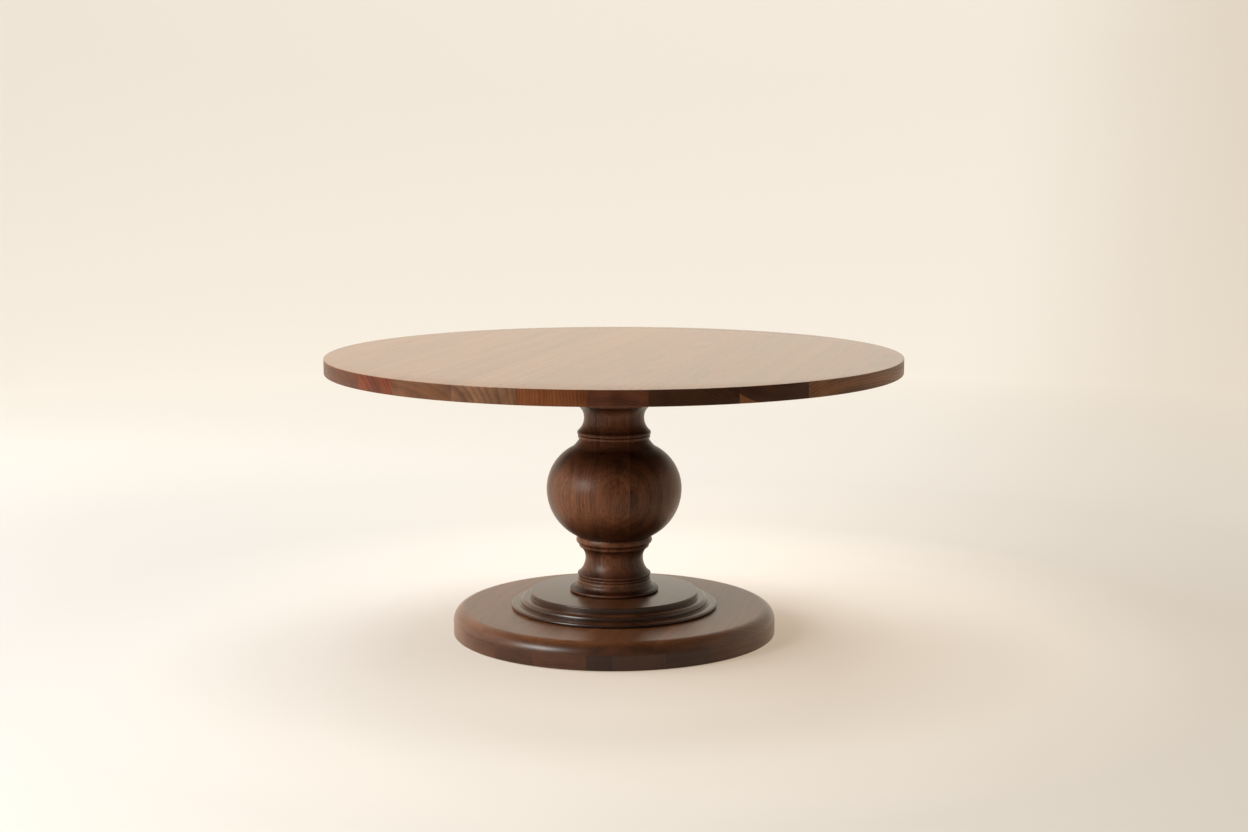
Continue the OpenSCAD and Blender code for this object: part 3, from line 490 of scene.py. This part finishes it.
def tarnish_group():
    """Brushed metal: hair lines across Y drift the gloss, and soft stains darken the colour."""
    group, given, result = new_group("tarnish", [
        ("Vector", VECTOR, None), ("Color", COLOR, (0.6, 0.6, 0.6, 1)), ("Stain", FLOAT, 0.55),
        ("Roughness", FLOAT, 0.3), ("Brushing", FLOAT, 0.15), ("Hairs", FLOAT, 260.0)], FINISH_OUTPUTS)
    given = given.outputs
    brushed = stretched(group, given["Vector"], 1.0, 8.0, 1.0)
    hair = noise(group, brushed, given["Hairs"], detail=2.0).outputs[0]
    stain = noise(group, given["Vector"], 38.0, detail=4.0, rough=0.6).outputs[0]
    stained = mix_color(group, 1.0, given["Color"], (*grey(0.55), 1), "MULTIPLY")
    color = mix_color(group, times(group, stain, given["Stain"]), given["Color"], stained)
    drift = times(group, minus(group, hair, 0.5), given["Brushing"])
    put(group, result.inputs["Color"], color)
    put(group, result.inputs["Roughness"], plus(group, given["Roughness"], drift))
    put(group, result.inputs["Height"], hair)
    return group


def tooth_group():
    """Matt surface with a fine tooth that lightens and darkens the colour by Contrast."""
    group, given, result = new_group("tooth", [
        ("Vector", VECTOR, None), ("Color", COLOR, (0.2, 0.2, 0.2, 1)), ("Scale", FLOAT, 300.0),
        ("Contrast", FLOAT, 0.35), ("Roughness", FLOAT, 0.8)], FINISH_OUTPUTS)
    given = given.outputs
    tooth = noise(group, given["Vector"], given["Scale"], detail=4.0, rough=0.7).outputs[0]
    swing = minus(group, times(group, tooth, 2.0), 1.0)
    swing = grey_output(group, plus(group, 1.0, times(group, swing, given["Contrast"])))
    put(group, result.inputs["Color"], mix_color(group, 1.0, given["Color"], swing, "MULTIPLY"))
    put(group, result.inputs["Roughness"], plus(group, given["Roughness"], times(group, tooth, 0.1)))
    put(group, result.inputs["Height"], tooth)
    return group


TARNISH, TOOTH = tarnish_group(), tooth_group()


def fitting_finish(name, group, values, metallic, strength, depth):
    """Material of a fitting: the group's colour, gloss and height on one shader."""
    material, tree = new_material(name)
    place = add(tree, "ShaderNodeTexCoord").outputs["Object"]
    face = add(tree, "ShaderNodeGroup", {"Vector": place, **values}, node_tree=group).outputs
    bump = add(tree, "ShaderNodeBump", {"Height": face["Height"], "Strength": strength, "Distance": depth})
    show(tree, {"Base Color": face["Color"], "Roughness": face["Roughness"], "Metallic": metallic,
                "Normal": bump.outputs[0]})
    return material


def metal(name, color, rough):
    """Brushed metal with a little tarnish."""
    values = {"Color": (*color, 1), "Roughness": rough}
    return fitting_finish(name, TARNISH, values, 1.0, 0.08, 0.2 * MM)


def matt(name, color, rough, scale, depth, contrast=0.35):
    """Felt, nylon or bare plywood."""
    values = {"Color": (*color, 1), "Roughness": rough, "Scale": scale, "Contrast": contrast}
    return fitting_finish(name, TOOTH, values, 0.0, 0.5, depth)


def shaded(color, shade):
    """Colour made darker or lighter by a factor."""
    return tuple(c * shade for c in color)


def dress(piece, material):
    """Gives the piece one material."""
    piece.data.materials.clear()
    piece.data.materials.append(material)


def stand_for(piece, node, body, material):
    """The piece takes the place of a CAD node and moves with its body."""
    dress(piece, material)
    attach(piece, body)
    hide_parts(node)


# ---------------------------------------------------------------- top

# Each board from -X to +X: where its pith lies aside and above, ring width, wander, seed, tint of the rim,
# which darkens its end grain and paints shade on the rest of the upright rim.
TOP_BOARDS = [
    dict(pith=(-0.76, 0.55), ring=0.0050, wander=0.03, seed=1.3, end_tint=(0.32, 0.23, 0.17)),
    dict(pith=(-0.62, 0.60), ring=0.0060, wander=0.04, seed=2.9, end_tint=(0.32, 0.20, 0.15)),
    dict(pith=(-0.53, 0.66), ring=0.0120, wander=0.05, seed=4.1, end_tint=(0.40, 0.17, 0.09)),
    dict(pith=(-0.36, 0.45), ring=0.0040, wander=0.02, seed=6.6, end_tint=(0.44, 0.35, 0.29)),
    dict(pith=(-0.24, 0.67), ring=0.0170, wander=0.05, seed=8.2, end_tint=(0.61, 0.57, 0.59)),
    dict(pith=(-0.22, 0.70), ring=0.0075, wander=0.03, seed=9.7, end_tint=(0.67, 0.41, 0.25)),
    dict(pith=(0.18, 0.50), ring=0.0055, wander=0.04, seed=11.4, end_tint=(0.45, 0.29, 0.27)),
    dict(pith=(0.33, 0.60), ring=0.0060, wander=0.03, seed=13.8, end_tint=(0.27, 0.20, 0.16)),
    dict(pith=(0.559, 0.852), ring=0.0050, wander=0.004, seed=15.1, end_tint=(0.35, 0.24, 0.19),
         sapwood=0.15),
    # The last board's rim tint is above one: it lightens the rim's right end, a painted sheen.
    dict(pith=(0.70, 0.62), ring=0.0080, wander=0.04, seed=17.5, end_tint=(1.22, 1.04, 0.90)),
]
TOP_DARK, TOP_LIGHT = (0.106, 0.048, 0.022), (0.268, 0.134, 0.062)
TOP_SHADES = [1.0, 0.94, 1.05, 0.97, 1.02, 0.93, 0.97, 0.86, 0.90, 0.82]
TOP_FINISH = dict(streak=0.6, rough=0.28, gloss=0.9, coat_ior=1.38, contrast=0.62, end_contrast=1.2,
                  along="rim")
TOP_EASE = 1.6 * MM                     # radius of the top's eased edges


def build_top():
    """Ten boards of one thick slab, with both edges of the rim eased."""
    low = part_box("top_board_1")[0][2]
    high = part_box("top_board_1")[1][2]
    radius = max(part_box("top_board_6")[1][1], -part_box("top_board_6")[0][1])
    shoulder = radius - TOP_EASE
    side = np.concatenate([arc((shoulder, low + TOP_EASE), TOP_EASE, -90, 0, 5),
                           arc((shoulder, high - TOP_EASE), TOP_EASE, 0, 90, 5)])
    for number, (board, shade) in enumerate(zip(TOP_BOARDS, TOP_SHADES), 1):
        node = f"top_board_{number}"
        dark, light = shaded(TOP_DARK, shade), shaded(TOP_LIGHT, shade)
        finish = walnut(f"walnut {node}", dark, light, **TOP_FINISH, **board)
        piece = plank(f"{node}_planed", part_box(node)[0][0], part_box(node)[1][0], side)
        stand_for(piece, node, "top", finish)


# ---------------------------------------------------------------- column

# Sizes in millimetres.
BORE = 9.0                              # radius of the bore for the tie rod
TENON, TENON_LENGTH, TENON_ROOM = 30.0, 18.0, 0.15
MEMBER = 98.0                           # radius of the turned members that meet the necks


def turned(side, height, socket, tenon):
    """Section of the column: its outline, the bore for the tie rod, a socket in its foot and a tenon on its
    head."""
    foot = [(BORE, 0)]
    head = [(BORE, height)]
    if socket:
        wide, deep = TENON + TENON_ROOM, TENON_LENGTH + TENON_ROOM
        foot = [(BORE, deep), (wide, deep), (wide, 0)]
    if tenon:
        head = [(TENON, height), (TENON, height + tenon), (BORE, height + tenon)]
    return outline(foot, side, head)


def section_height(node, tenon=0.0):
    """Height of a section without its tenon."""
    low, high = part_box(node)
    return (high[2] - low[2]) / MM - tenon


def foot_ring():
    """Half round nose at the foot, and an arc that hollows up from it and ends upright."""
    height = section_height("foot_ring", TENON_LENGTH)
    nose, foot, hollow = 10.0, 114.0, 112.0
    side = outline(bead(foot, 0, nose, 5.0), swell((MEMBER + 0.6, height), (hollow, nose))[::-1])
    return turned(side, height, False, TENON_LENGTH)


def lower_neck():
    """Rounded foot, a fine bead and a bold one with fillets, and a hollow neck of two arcs about a waist."""
    height = section_height("lower_neck", TENON_LENGTH)
    lip = 19.0
    waist = (77.2, height - 26)
    foot = MEMBER + 0.4
    side = outline(
        (foot, 0), bend((foot, 0.4), (MEMBER - 0.8, 3), (MEMBER - 1.2, 6.4), 6), (95.4, 6.8), (95.4, 7.6),
        bead(94.6, 7.8, lip - 5, 1.6, 10), (93.0, lip - 4.6), (93.0, lip - 3),
        bead(95.0, lip - 2.4, lip + 4.6, 3.0),
        swell(waist, (94.4, lip + 4.6))[::-1], swell(waist, (86.8, height)))
    return turned(side, height, True, TENON_LENGTH)


def lower_collar():
    """Small swelling ring below, a quirk, and a fuller ring of two arcs about its fattest point."""
    height = section_height("lower_collar", TENON_LENGTH)
    ring = 13.5
    seat = (MEMBER - 1, ring)
    fattest = (MEMBER + 3.7, ring + 0.41 * (height - ring))
    side = outline(
        (MEMBER - 11, 0), swell((MEMBER - 4, 8), (MEMBER - 10, 1))[::-1], (MEMBER - 4.6, 8.5),
        bend((MEMBER - 5, 9), (MEMBER - 5, ring - 0.4), seat, 4),
        swell(fattest, seat)[::-1], swell(fattest, (MEMBER, height)))
    return turned(side, height, True, TENON_LENGTH)


def bulb():
    """Two arcs about the belly, and a shoulder that bends out of the upper arc into the collar."""
    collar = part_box("upper_collar")
    tenon = (collar[1][2] - collar[0][2]) / MM + TENON_LENGTH
    height = section_height("bulb", tenon)
    belly = (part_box("bulb")[1][0] / MM, height * 0.485)
    shoulder = (MEMBER + 13, height * 0.913)
    head = (MEMBER - 6, height)
    lead = (head[0] + 0.55 * (shoulder[0] - head[0]), shoulder[1] + 0.3 * (height - shoulder[1]))
    side = outline(swell(belly, (MEMBER, 0), 48)[::-1], swell(belly, shoulder, 48),
                   bend(shoulder, lead, head))
    return turned(side, height, True, tenon)


def upper_collar():
    """Loose ring on the bulb's long tenon: a bead below and a narrow fillet with two eased edges above."""
    height = section_height("upper_collar")
    top, ease = height - 5, 0.8
    inside, fillet = TENON + TENON_ROOM, MEMBER - 0.8
    return outline((inside, 0), (MEMBER - 6, 0), bead(MEMBER - 5.5, 1, top, 4.0),
                   (MEMBER - 3.5, top + 0.2), (MEMBER - 3.5, top + 0.8), (MEMBER - 0.6, top + 1.0),
                   arc((fillet, top + 1.8), ease, -90, 0, 3), arc((fillet, height - ease), ease, 0, 90, 3),
                   (inside, height))


def capital():
    """Eased foot, a hollow neck of two arcs about its waist, a fillet and an arc that swells to the head."""
    height = section_height("capital")
    waist, foot = (80.2, 40.0), (MEMBER - 1.5, 4)
    fillet, edge, head = height - 24, MEMBER + 6, MEMBER + 20
    side = outline(
        (MEMBER - 0.6, 0), arc((MEMBER - 1.2, 1.5), 1.2, -60, 60, 5), foot,
        swell(waist, foot)[::-1], swell(waist, (edge - 1.4, fillet)), (edge, fillet + 0.4),
        (edge, fillet + 5.6), (edge + 2, fillet + 6),
        swell((head, height - 1), (edge + 2, fillet + 7))[::-1], (head - 0.5, height))
    return turned(side, height, True, 0)


def column_cap():
    """Round plate with a rounded edge."""
    height = section_height("column_cap")
    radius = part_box("column_cap")[1][0] / MM
    return outline((BORE, 0), bead(radius - 3, 0, height, 3.0), (BORE, height))


def step_disc():
    """Flat disc with a quirk at its foot and a quarter round edge above."""
    height = section_height("step_disc")
    radius, round_over = 224.6, 3.0
    edge = arc((radius - round_over, height - round_over), round_over, 0, 90, 8)
    return outline((BORE, 0), (radius + 1.2, 0), (radius + 1.2, 1.8), (radius, 2.4), edge, (BORE, height))


def step_base():
    """Half round below, a fillet, and an arc that rises upright and leans in to the disc above."""
    height = section_height("step_base")
    roll, tier = 275.8, 250.6
    return outline((BORE, 0), bead(roll - 5, 0, 10, 5.0), (tier + 5.6, 10.2), (tier + 5, 10.8),
                   (tier + 5, 12.6), (tier + 4.4, 13.0), (tier - 0.4, 13.2),
                   swell((tier, 15), (tier - 11, height)), (BORE, height))


COLUMN = (0.036, 0.011, 0.004), (0.218, 0.084, 0.039)
COLUMN_FINISH = dict(ring=0.0110, wander=0.014, seed=3.0, streak=1.7, rough=0.30,
                     end_tint=(0.24, 0.18, 0.15), season=0.17, gloss=0.55, polish=0.42, coat_ior=1.30,
                     along="column")
# Every turned section, with a factor that darkens its wood: painted shade, deepest at the foot ring and the
# lower neck and a little at the capital and the cap.
SECTIONS_WITH_PAINTED_SHADE = [("foot_ring", foot_ring, 0.44), ("lower_neck", lower_neck, 0.56),
            ("lower_collar", lower_collar, 0.75), ("bulb", bulb, 0.86), ("upper_collar", upper_collar, 0.85),
            ("capital", capital, 0.8), ("column_cap", column_cap, 0.8)]
STEP_DARK, STEP_LIGHT = (0.016, 0.006, 0.003), (0.066, 0.027, 0.012)
STEP_FINISH = dict(pith=(0.05, -0.5), ring=0.005, wander=0.04, rough=0.32, gloss=1.0, polish=0.28,
                   coat_ior=1.45)
STEPS = [("step_disc", step_disc, 21.0), ("step_base", step_base, 24.5)]


def build_column():
    """The column's sections, cut from one glue-up so that the grain runs on and darkened by their painted
    shade, and the two steps under them.
    """
    for node, shape, shade in SECTIONS_WITH_PAINTED_SHADE:
        # Each section's colours are scaled by its painted shade factor.
        dark, light = (shaded(color, shade) for color in COLUMN)
        piece = revolve(f"{node}_turned", shape(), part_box(node)[0][2])
        finish = walnut(f"walnut {node}", dark, light, **COLUMN_FINISH)
        stand_for(piece, node, "base", finish)
    for node, shape, seed in STEPS:
        piece = revolve(f"{node}_turned", shape(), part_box(node)[0][2], segments=256)
        finish = walnut(f"walnut {node}", STEP_DARK, STEP_LIGHT, seed=seed, **STEP_FINISH)
        stand_for(piece, node, "base", finish)


# ---------------------------------------------------------------- plinth

PLINTH_DARK, PLINTH_LIGHT = (0.044, 0.016, 0.007), (0.175, 0.074, 0.036)
STAVE_SHADES = [1.15, 1.05, 0.95, 1.0, 0.62, 0.9, 0.6, 0.95]
BOARD_SHADES = [1.1, 1.05, 0.95, 0.9, 1.05]
PLINTH_FINISH = dict(ring=0.0048, wander=0.04, rough=0.34, contrast=0.7, end_contrast=0.5, gloss=0.9,
                     polish=0.32, coat_ior=1.40)
PLINTH_EDGE = 34 * MM                   # radius of the plinth's rounded side
PLINTH_EASE = 2 * MM                    # radius of the small round at its foot


def build_plinth():
    """Two layers of one round blank: narrow staves below, boards above, under one rounded edge."""
    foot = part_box("plinth_stave_4")[0][2]
    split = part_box("plinth_stave_4")[1][2]
    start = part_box("plinth_board_3")[0][2]
    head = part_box("plinth_board_3")[1][2]
    radius = -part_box("plinth_board_3")[0][1]
    center = (radius - PLINTH_EDGE, head - PLINTH_EDGE)
    rise = math.degrees(math.asin((split - center[1]) / PLINTH_EDGE))
    rise_above = math.degrees(math.asin((start - center[1]) / PLINTH_EDGE))
    lower = np.concatenate([arc((radius - PLINTH_EASE, foot + PLINTH_EASE), PLINTH_EASE, -90, 0, 4),
                            arc(center, PLINTH_EDGE, 0, rise, 3)])
    upper = arc(center, PLINTH_EDGE, rise_above, 90, 20)
    for layer, side, shades in (("plinth_board", upper, BOARD_SHADES), ("plinth_stave", lower, STAVE_SHADES)):
        for number, shade in enumerate(shades, 1):
            node = f"{layer}_{number}"
            x0, x1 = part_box(node)[0][0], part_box(node)[1][0]
            seed = number * 2.7 + len(shades)
            pith = ((x0 + x1) / 2 + 0.02 * math.sin(seed), -0.16 - 0.04 * math.cos(seed))
            dark, light = shaded(PLINTH_DARK, shade), shaded(PLINTH_LIGHT, shade)
            finish = walnut(f"walnut {node}", dark, light, pith=pith, seed=seed, **PLINTH_FINISH)
            piece = plank(f"{node}_planed", x0, x1, side)
            stand_for(piece, node, "base", finish)


# ---------------------------------------------------------------- fittings and hidden wood

SPRING_WIRE, SPRING_TURNS = 0.6 * MM, 6
PLANED_EASE = 1.5 * MM                  # width of the eased edges of the battens and the head block


def build_spring(steel):
    """The catch spring, which shortens against the back of its case as the bolt is drawn."""
    spring = coil("catch_spring_wire", "catch_spring", SPRING_WIRE, SPRING_TURNS)
    stand_for(spring, "catch_spring", "top", steel)
    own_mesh(spring)


def dress_fittings():
    """Materials of the CAD nodes that stay, the catch spring, and eased copies of the planed members."""
    steel = metal("zinc plated steel", (0.60, 0.60, 0.62), 0.36)
    finishes = {
        "brass": metal("satin brass", (0.72, 0.50, 0.19), 0.30), "steel": steel,
        "felt": matt("green felt", (0.035, 0.050, 0.036), 0.92, 900.0, 0.6 * MM, 0.5),
        "nylon": matt("black nylon", (0.018, 0.018, 0.018), 0.5, 300.0, 0.1 * MM),
        "tongue_wood": matt("bare plywood", (0.36, 0.22, 0.12), 0.75, 120.0, 0.2 * MM)}
    for entry in frame["record"]["subparts"]:
        if entry["material_slot"] in finishes:
            dress(frame["nodes"][entry["node"]], finishes[entry["material_slot"]])
    battens = walnut("walnut battens", (0.060, 0.024, 0.012), (0.22, 0.100, 0.050), pith=(0.1, 0.35),
                     ring=0.004, seed=31.0, along="X")
    block = walnut("walnut head block", (0.055, 0.022, 0.011), (0.21, 0.095, 0.047), pith=(0.0, 0.45),
                   ring=0.005, seed=35.0, along="X")
    for node, body, finish in (("batten_front", "top", battens), ("batten_back", "top", battens),
                               ("head_block", "base", block)):
        stand_for(eased_copy(node, PLANED_EASE), node, body, finish)
    build_spring(steel)


# ---------------------------------------------------------------- studio

VIEW_TURN = math.radians(15)            # the camera stands this far round from -Y towards +X
STUDIO_WHITE = (1.0, 0.98, 0.95)
# Behind the camera the paper is painted darker, standing in for the unlit side of the studio: painted shade.
PAPER_TINT, PAPER_PAINTED_SHADE_BEHIND = (0.33, 0.325, 0.32, 1), (0.10, 0.09, 0.08, 1)
# Glow of the paper by its distance from the table, as a share of PAPER_REACH. The warmer, lower glow nearest
# the table is painted shade round its base.
PAPER_GLOW = [(0.08, (0.50, 0.405, 0.305)), (0.13, (0.55, 0.465, 0.365)), (0.20, (0.50, 0.43, 0.34)),
              (0.27, (0.38, 0.33, 0.26)), (0.40, (0.37, 0.33, 0.27)), (0.60, (0.45, 0.41, 0.345)),
              (1.0, (0.665, 0.61, 0.525))]
PAPER_REACH = 6.0
# The weaker glow behind the camera is painted shade of the unlit side of the studio.
PAPER_GLOW_BEHIND = (0.12, 0.105, 0.087, 1)
# Painted shadow: towards the right the glow is dimmed by this factor, standing in for the table's broad
# shadow there.
PAPER_DIM_PAINTED_SHADOW = (0.79, 0.745, 0.68, 1)      # what is left of the glow at the far right
KEY_FALLS = (-2.3, 0.3, 0.0)            # where the key lights the floor most, so that it glows least
KEY_GLOW = 0.33                         # share of the glow that is left there


def from_camera(right, away, up):
    """Point given by its distances to the right of the table's axis, away from the camera and up."""
    return (right * math.cos(VIEW_TURN) - away * math.sin(VIEW_TURN),
            right * math.sin(VIEW_TURN) + away * math.cos(VIEW_TURN), up)


def studio_paper():
    """Cream paper that glows a little by itself, so that shadows on it stay soft. It glows least where the
    key lights it. Its glow dims towards the right as a painted shadow of the table, and close round the table
    a warmer, lower glow is painted shade; behind the camera the paper is darker and glows less, painted shade
    of the unlit side of the studio."""
    material, tree = new_material("studio paper")
    place = add(tree, "ShaderNodeTexCoord").outputs["Object"]
    squared = turned_by(tree, place, (0, 0, -VIEW_TURN))
    axes = add(tree, "ShaderNodeSeparateXYZ", {0: squared})
    right, away = axes.outputs[0], axes.outputs[1]
    reach = add(tree, "ShaderNodeVectorMath", {0: place}, operation="LENGTH").outputs["Value"]
    glow = ramp(tree, over(tree, reach, PAPER_REACH), PAPER_GLOW)
    # Painted shadow: the glow dims towards the right, where the table's shadow falls.
    dim = fade(tree, minus(tree, right, times(tree, away, 0.35)), -0.4, 1.5)
    glow = mix_color(tree, dim, glow, mix_color(tree, 1.0, glow, PAPER_DIM_PAINTED_SHADOW, "MULTIPLY"))
    from_lit = add(tree, "ShaderNodeVectorMath", {0: squared, 1: KEY_FALLS}, operation="DISTANCE")
    level = fade(tree, from_lit.outputs["Value"], 0.4, 3.2, KEY_GLOW, 1.0)
    glow = mix_color(tree, 1.0, glow, grey_output(tree, level), "MULTIPLY")
    # Painted shade behind the camera: darker paper and less glow.
    behind = fade(tree, away, -1.6, -5.0)
    glow = mix_color(tree, behind, glow, PAPER_GLOW_BEHIND)
    tint = mix_color(tree, behind, PAPER_TINT, PAPER_PAINTED_SHADE_BEHIND)
    show(tree, {"Base Color": tint, "Roughness": 0.95, "Specular IOR Level": 0.0, "Emission Color": glow,
                "Emission Strength": 1.0})
    return material


def studio_floor():
    """Seamless cream backdrop of revolution: a flat floor, a wide cove and an upright wall."""
    flat, cove, height = 6.2, 2.8, 8.0
    floor = np.stack([np.linspace(0.02, flat, 24), np.zeros(24)], axis=1)
    wall = np.stack([np.full(6, flat + cove), np.linspace(cove, height, 7)[1:]], axis=1)
    points = np.concatenate([floor, arc((flat, cove), cove, -90, 0, 24)[1:], wall])
    turn = np.linspace(0, 2 * np.pi, 97)
    grid = np.stack([points[:, :1] * np.cos(turn), points[:, :1] * np.sin(turn),
                     np.repeat(points[:, 1:], len(turn), axis=1)], axis=-1)
    backdrop = make_mesh("studio_backdrop", grid, loops_closed=False, caps=False, crease=80)
    backdrop.data.flip_normals()
    dress(backdrop, studio_paper())


def soft_light(name, place, target, size, level, mirrored=True):
    """Rectangular soft box at place that faces target; level is how bright its face is. Where it isn't
    mirrored it leaves no white patch in the polish."""
    lamp = bpy.data.lights.new(name, "AREA")
    lamp.shape = "RECTANGLE"
    lamp.size, lamp.size_y = size
    lamp.energy = level * math.pi * size[0] * size[1]
    lamp.color = STUDIO_WHITE
    holder = bpy.data.objects.new(name, lamp)
    bpy.context.scene.collection.objects.link(holder)
    way = Vector(target) - Vector(place)
    holder.visible_glossy = mirrored
    holder.location = place
    holder.rotation_euler = way.to_track_quat("-Z", "Y").to_euler()


def build_studio():
    """Backdrop, three soft boxes and a faint warm fill from all round."""
    studio_floor()
    soft_light("key", from_camera(-4.6, 0.5, 2.1), (0, 0, 0.5), (3.2, 3.4), 8.2, mirrored=False)
    soft_light("side strip", from_camera(-3.2, -2.3, 2.0), (0, 0, 0.5), (1.7, 1.6), 18.0)
    soft_light("overhead", from_camera(0.0, 2.2, 5.0), (0, 0, 0.75), (4.0, 3.2), 7.5)
    world = bpy.data.worlds.new("studio air")
    bpy.context.scene.world = world
    world.use_nodes = True
    sky = world.node_tree.nodes["Background"]
    sky.inputs[0].default_value = (1.0, 0.93, 0.83, 1)
    sky.inputs[1].default_value = 0.15


def build_camera():
    """Long lens at chest height, looking down a little; it aims just right of the table's axis."""
    distance, height, pitch, yaw = 5.2666, 1.3191, math.radians(7.95), math.radians(0.287)
    camera = bpy.data.cameras.new("camera")
    camera.sensor_width = 36.0
    camera.lens = 57.64
    camera.clip_end = 60.0
    holder = bpy.data.objects.new("camera", camera)
    bpy.context.scene.collection.objects.link(holder)
    holder.location = from_camera(0, -distance, height)
    holder.rotation_euler = (math.pi / 2 - pitch, 0, VIEW_TURN - yaw)
    bpy.context.scene.camera = holder


build_camera()
build_top()
build_column()
build_plinth()
dress_fittings()
build_studio()
bpy.context.scene.view_settings.view_transform = "Standard"
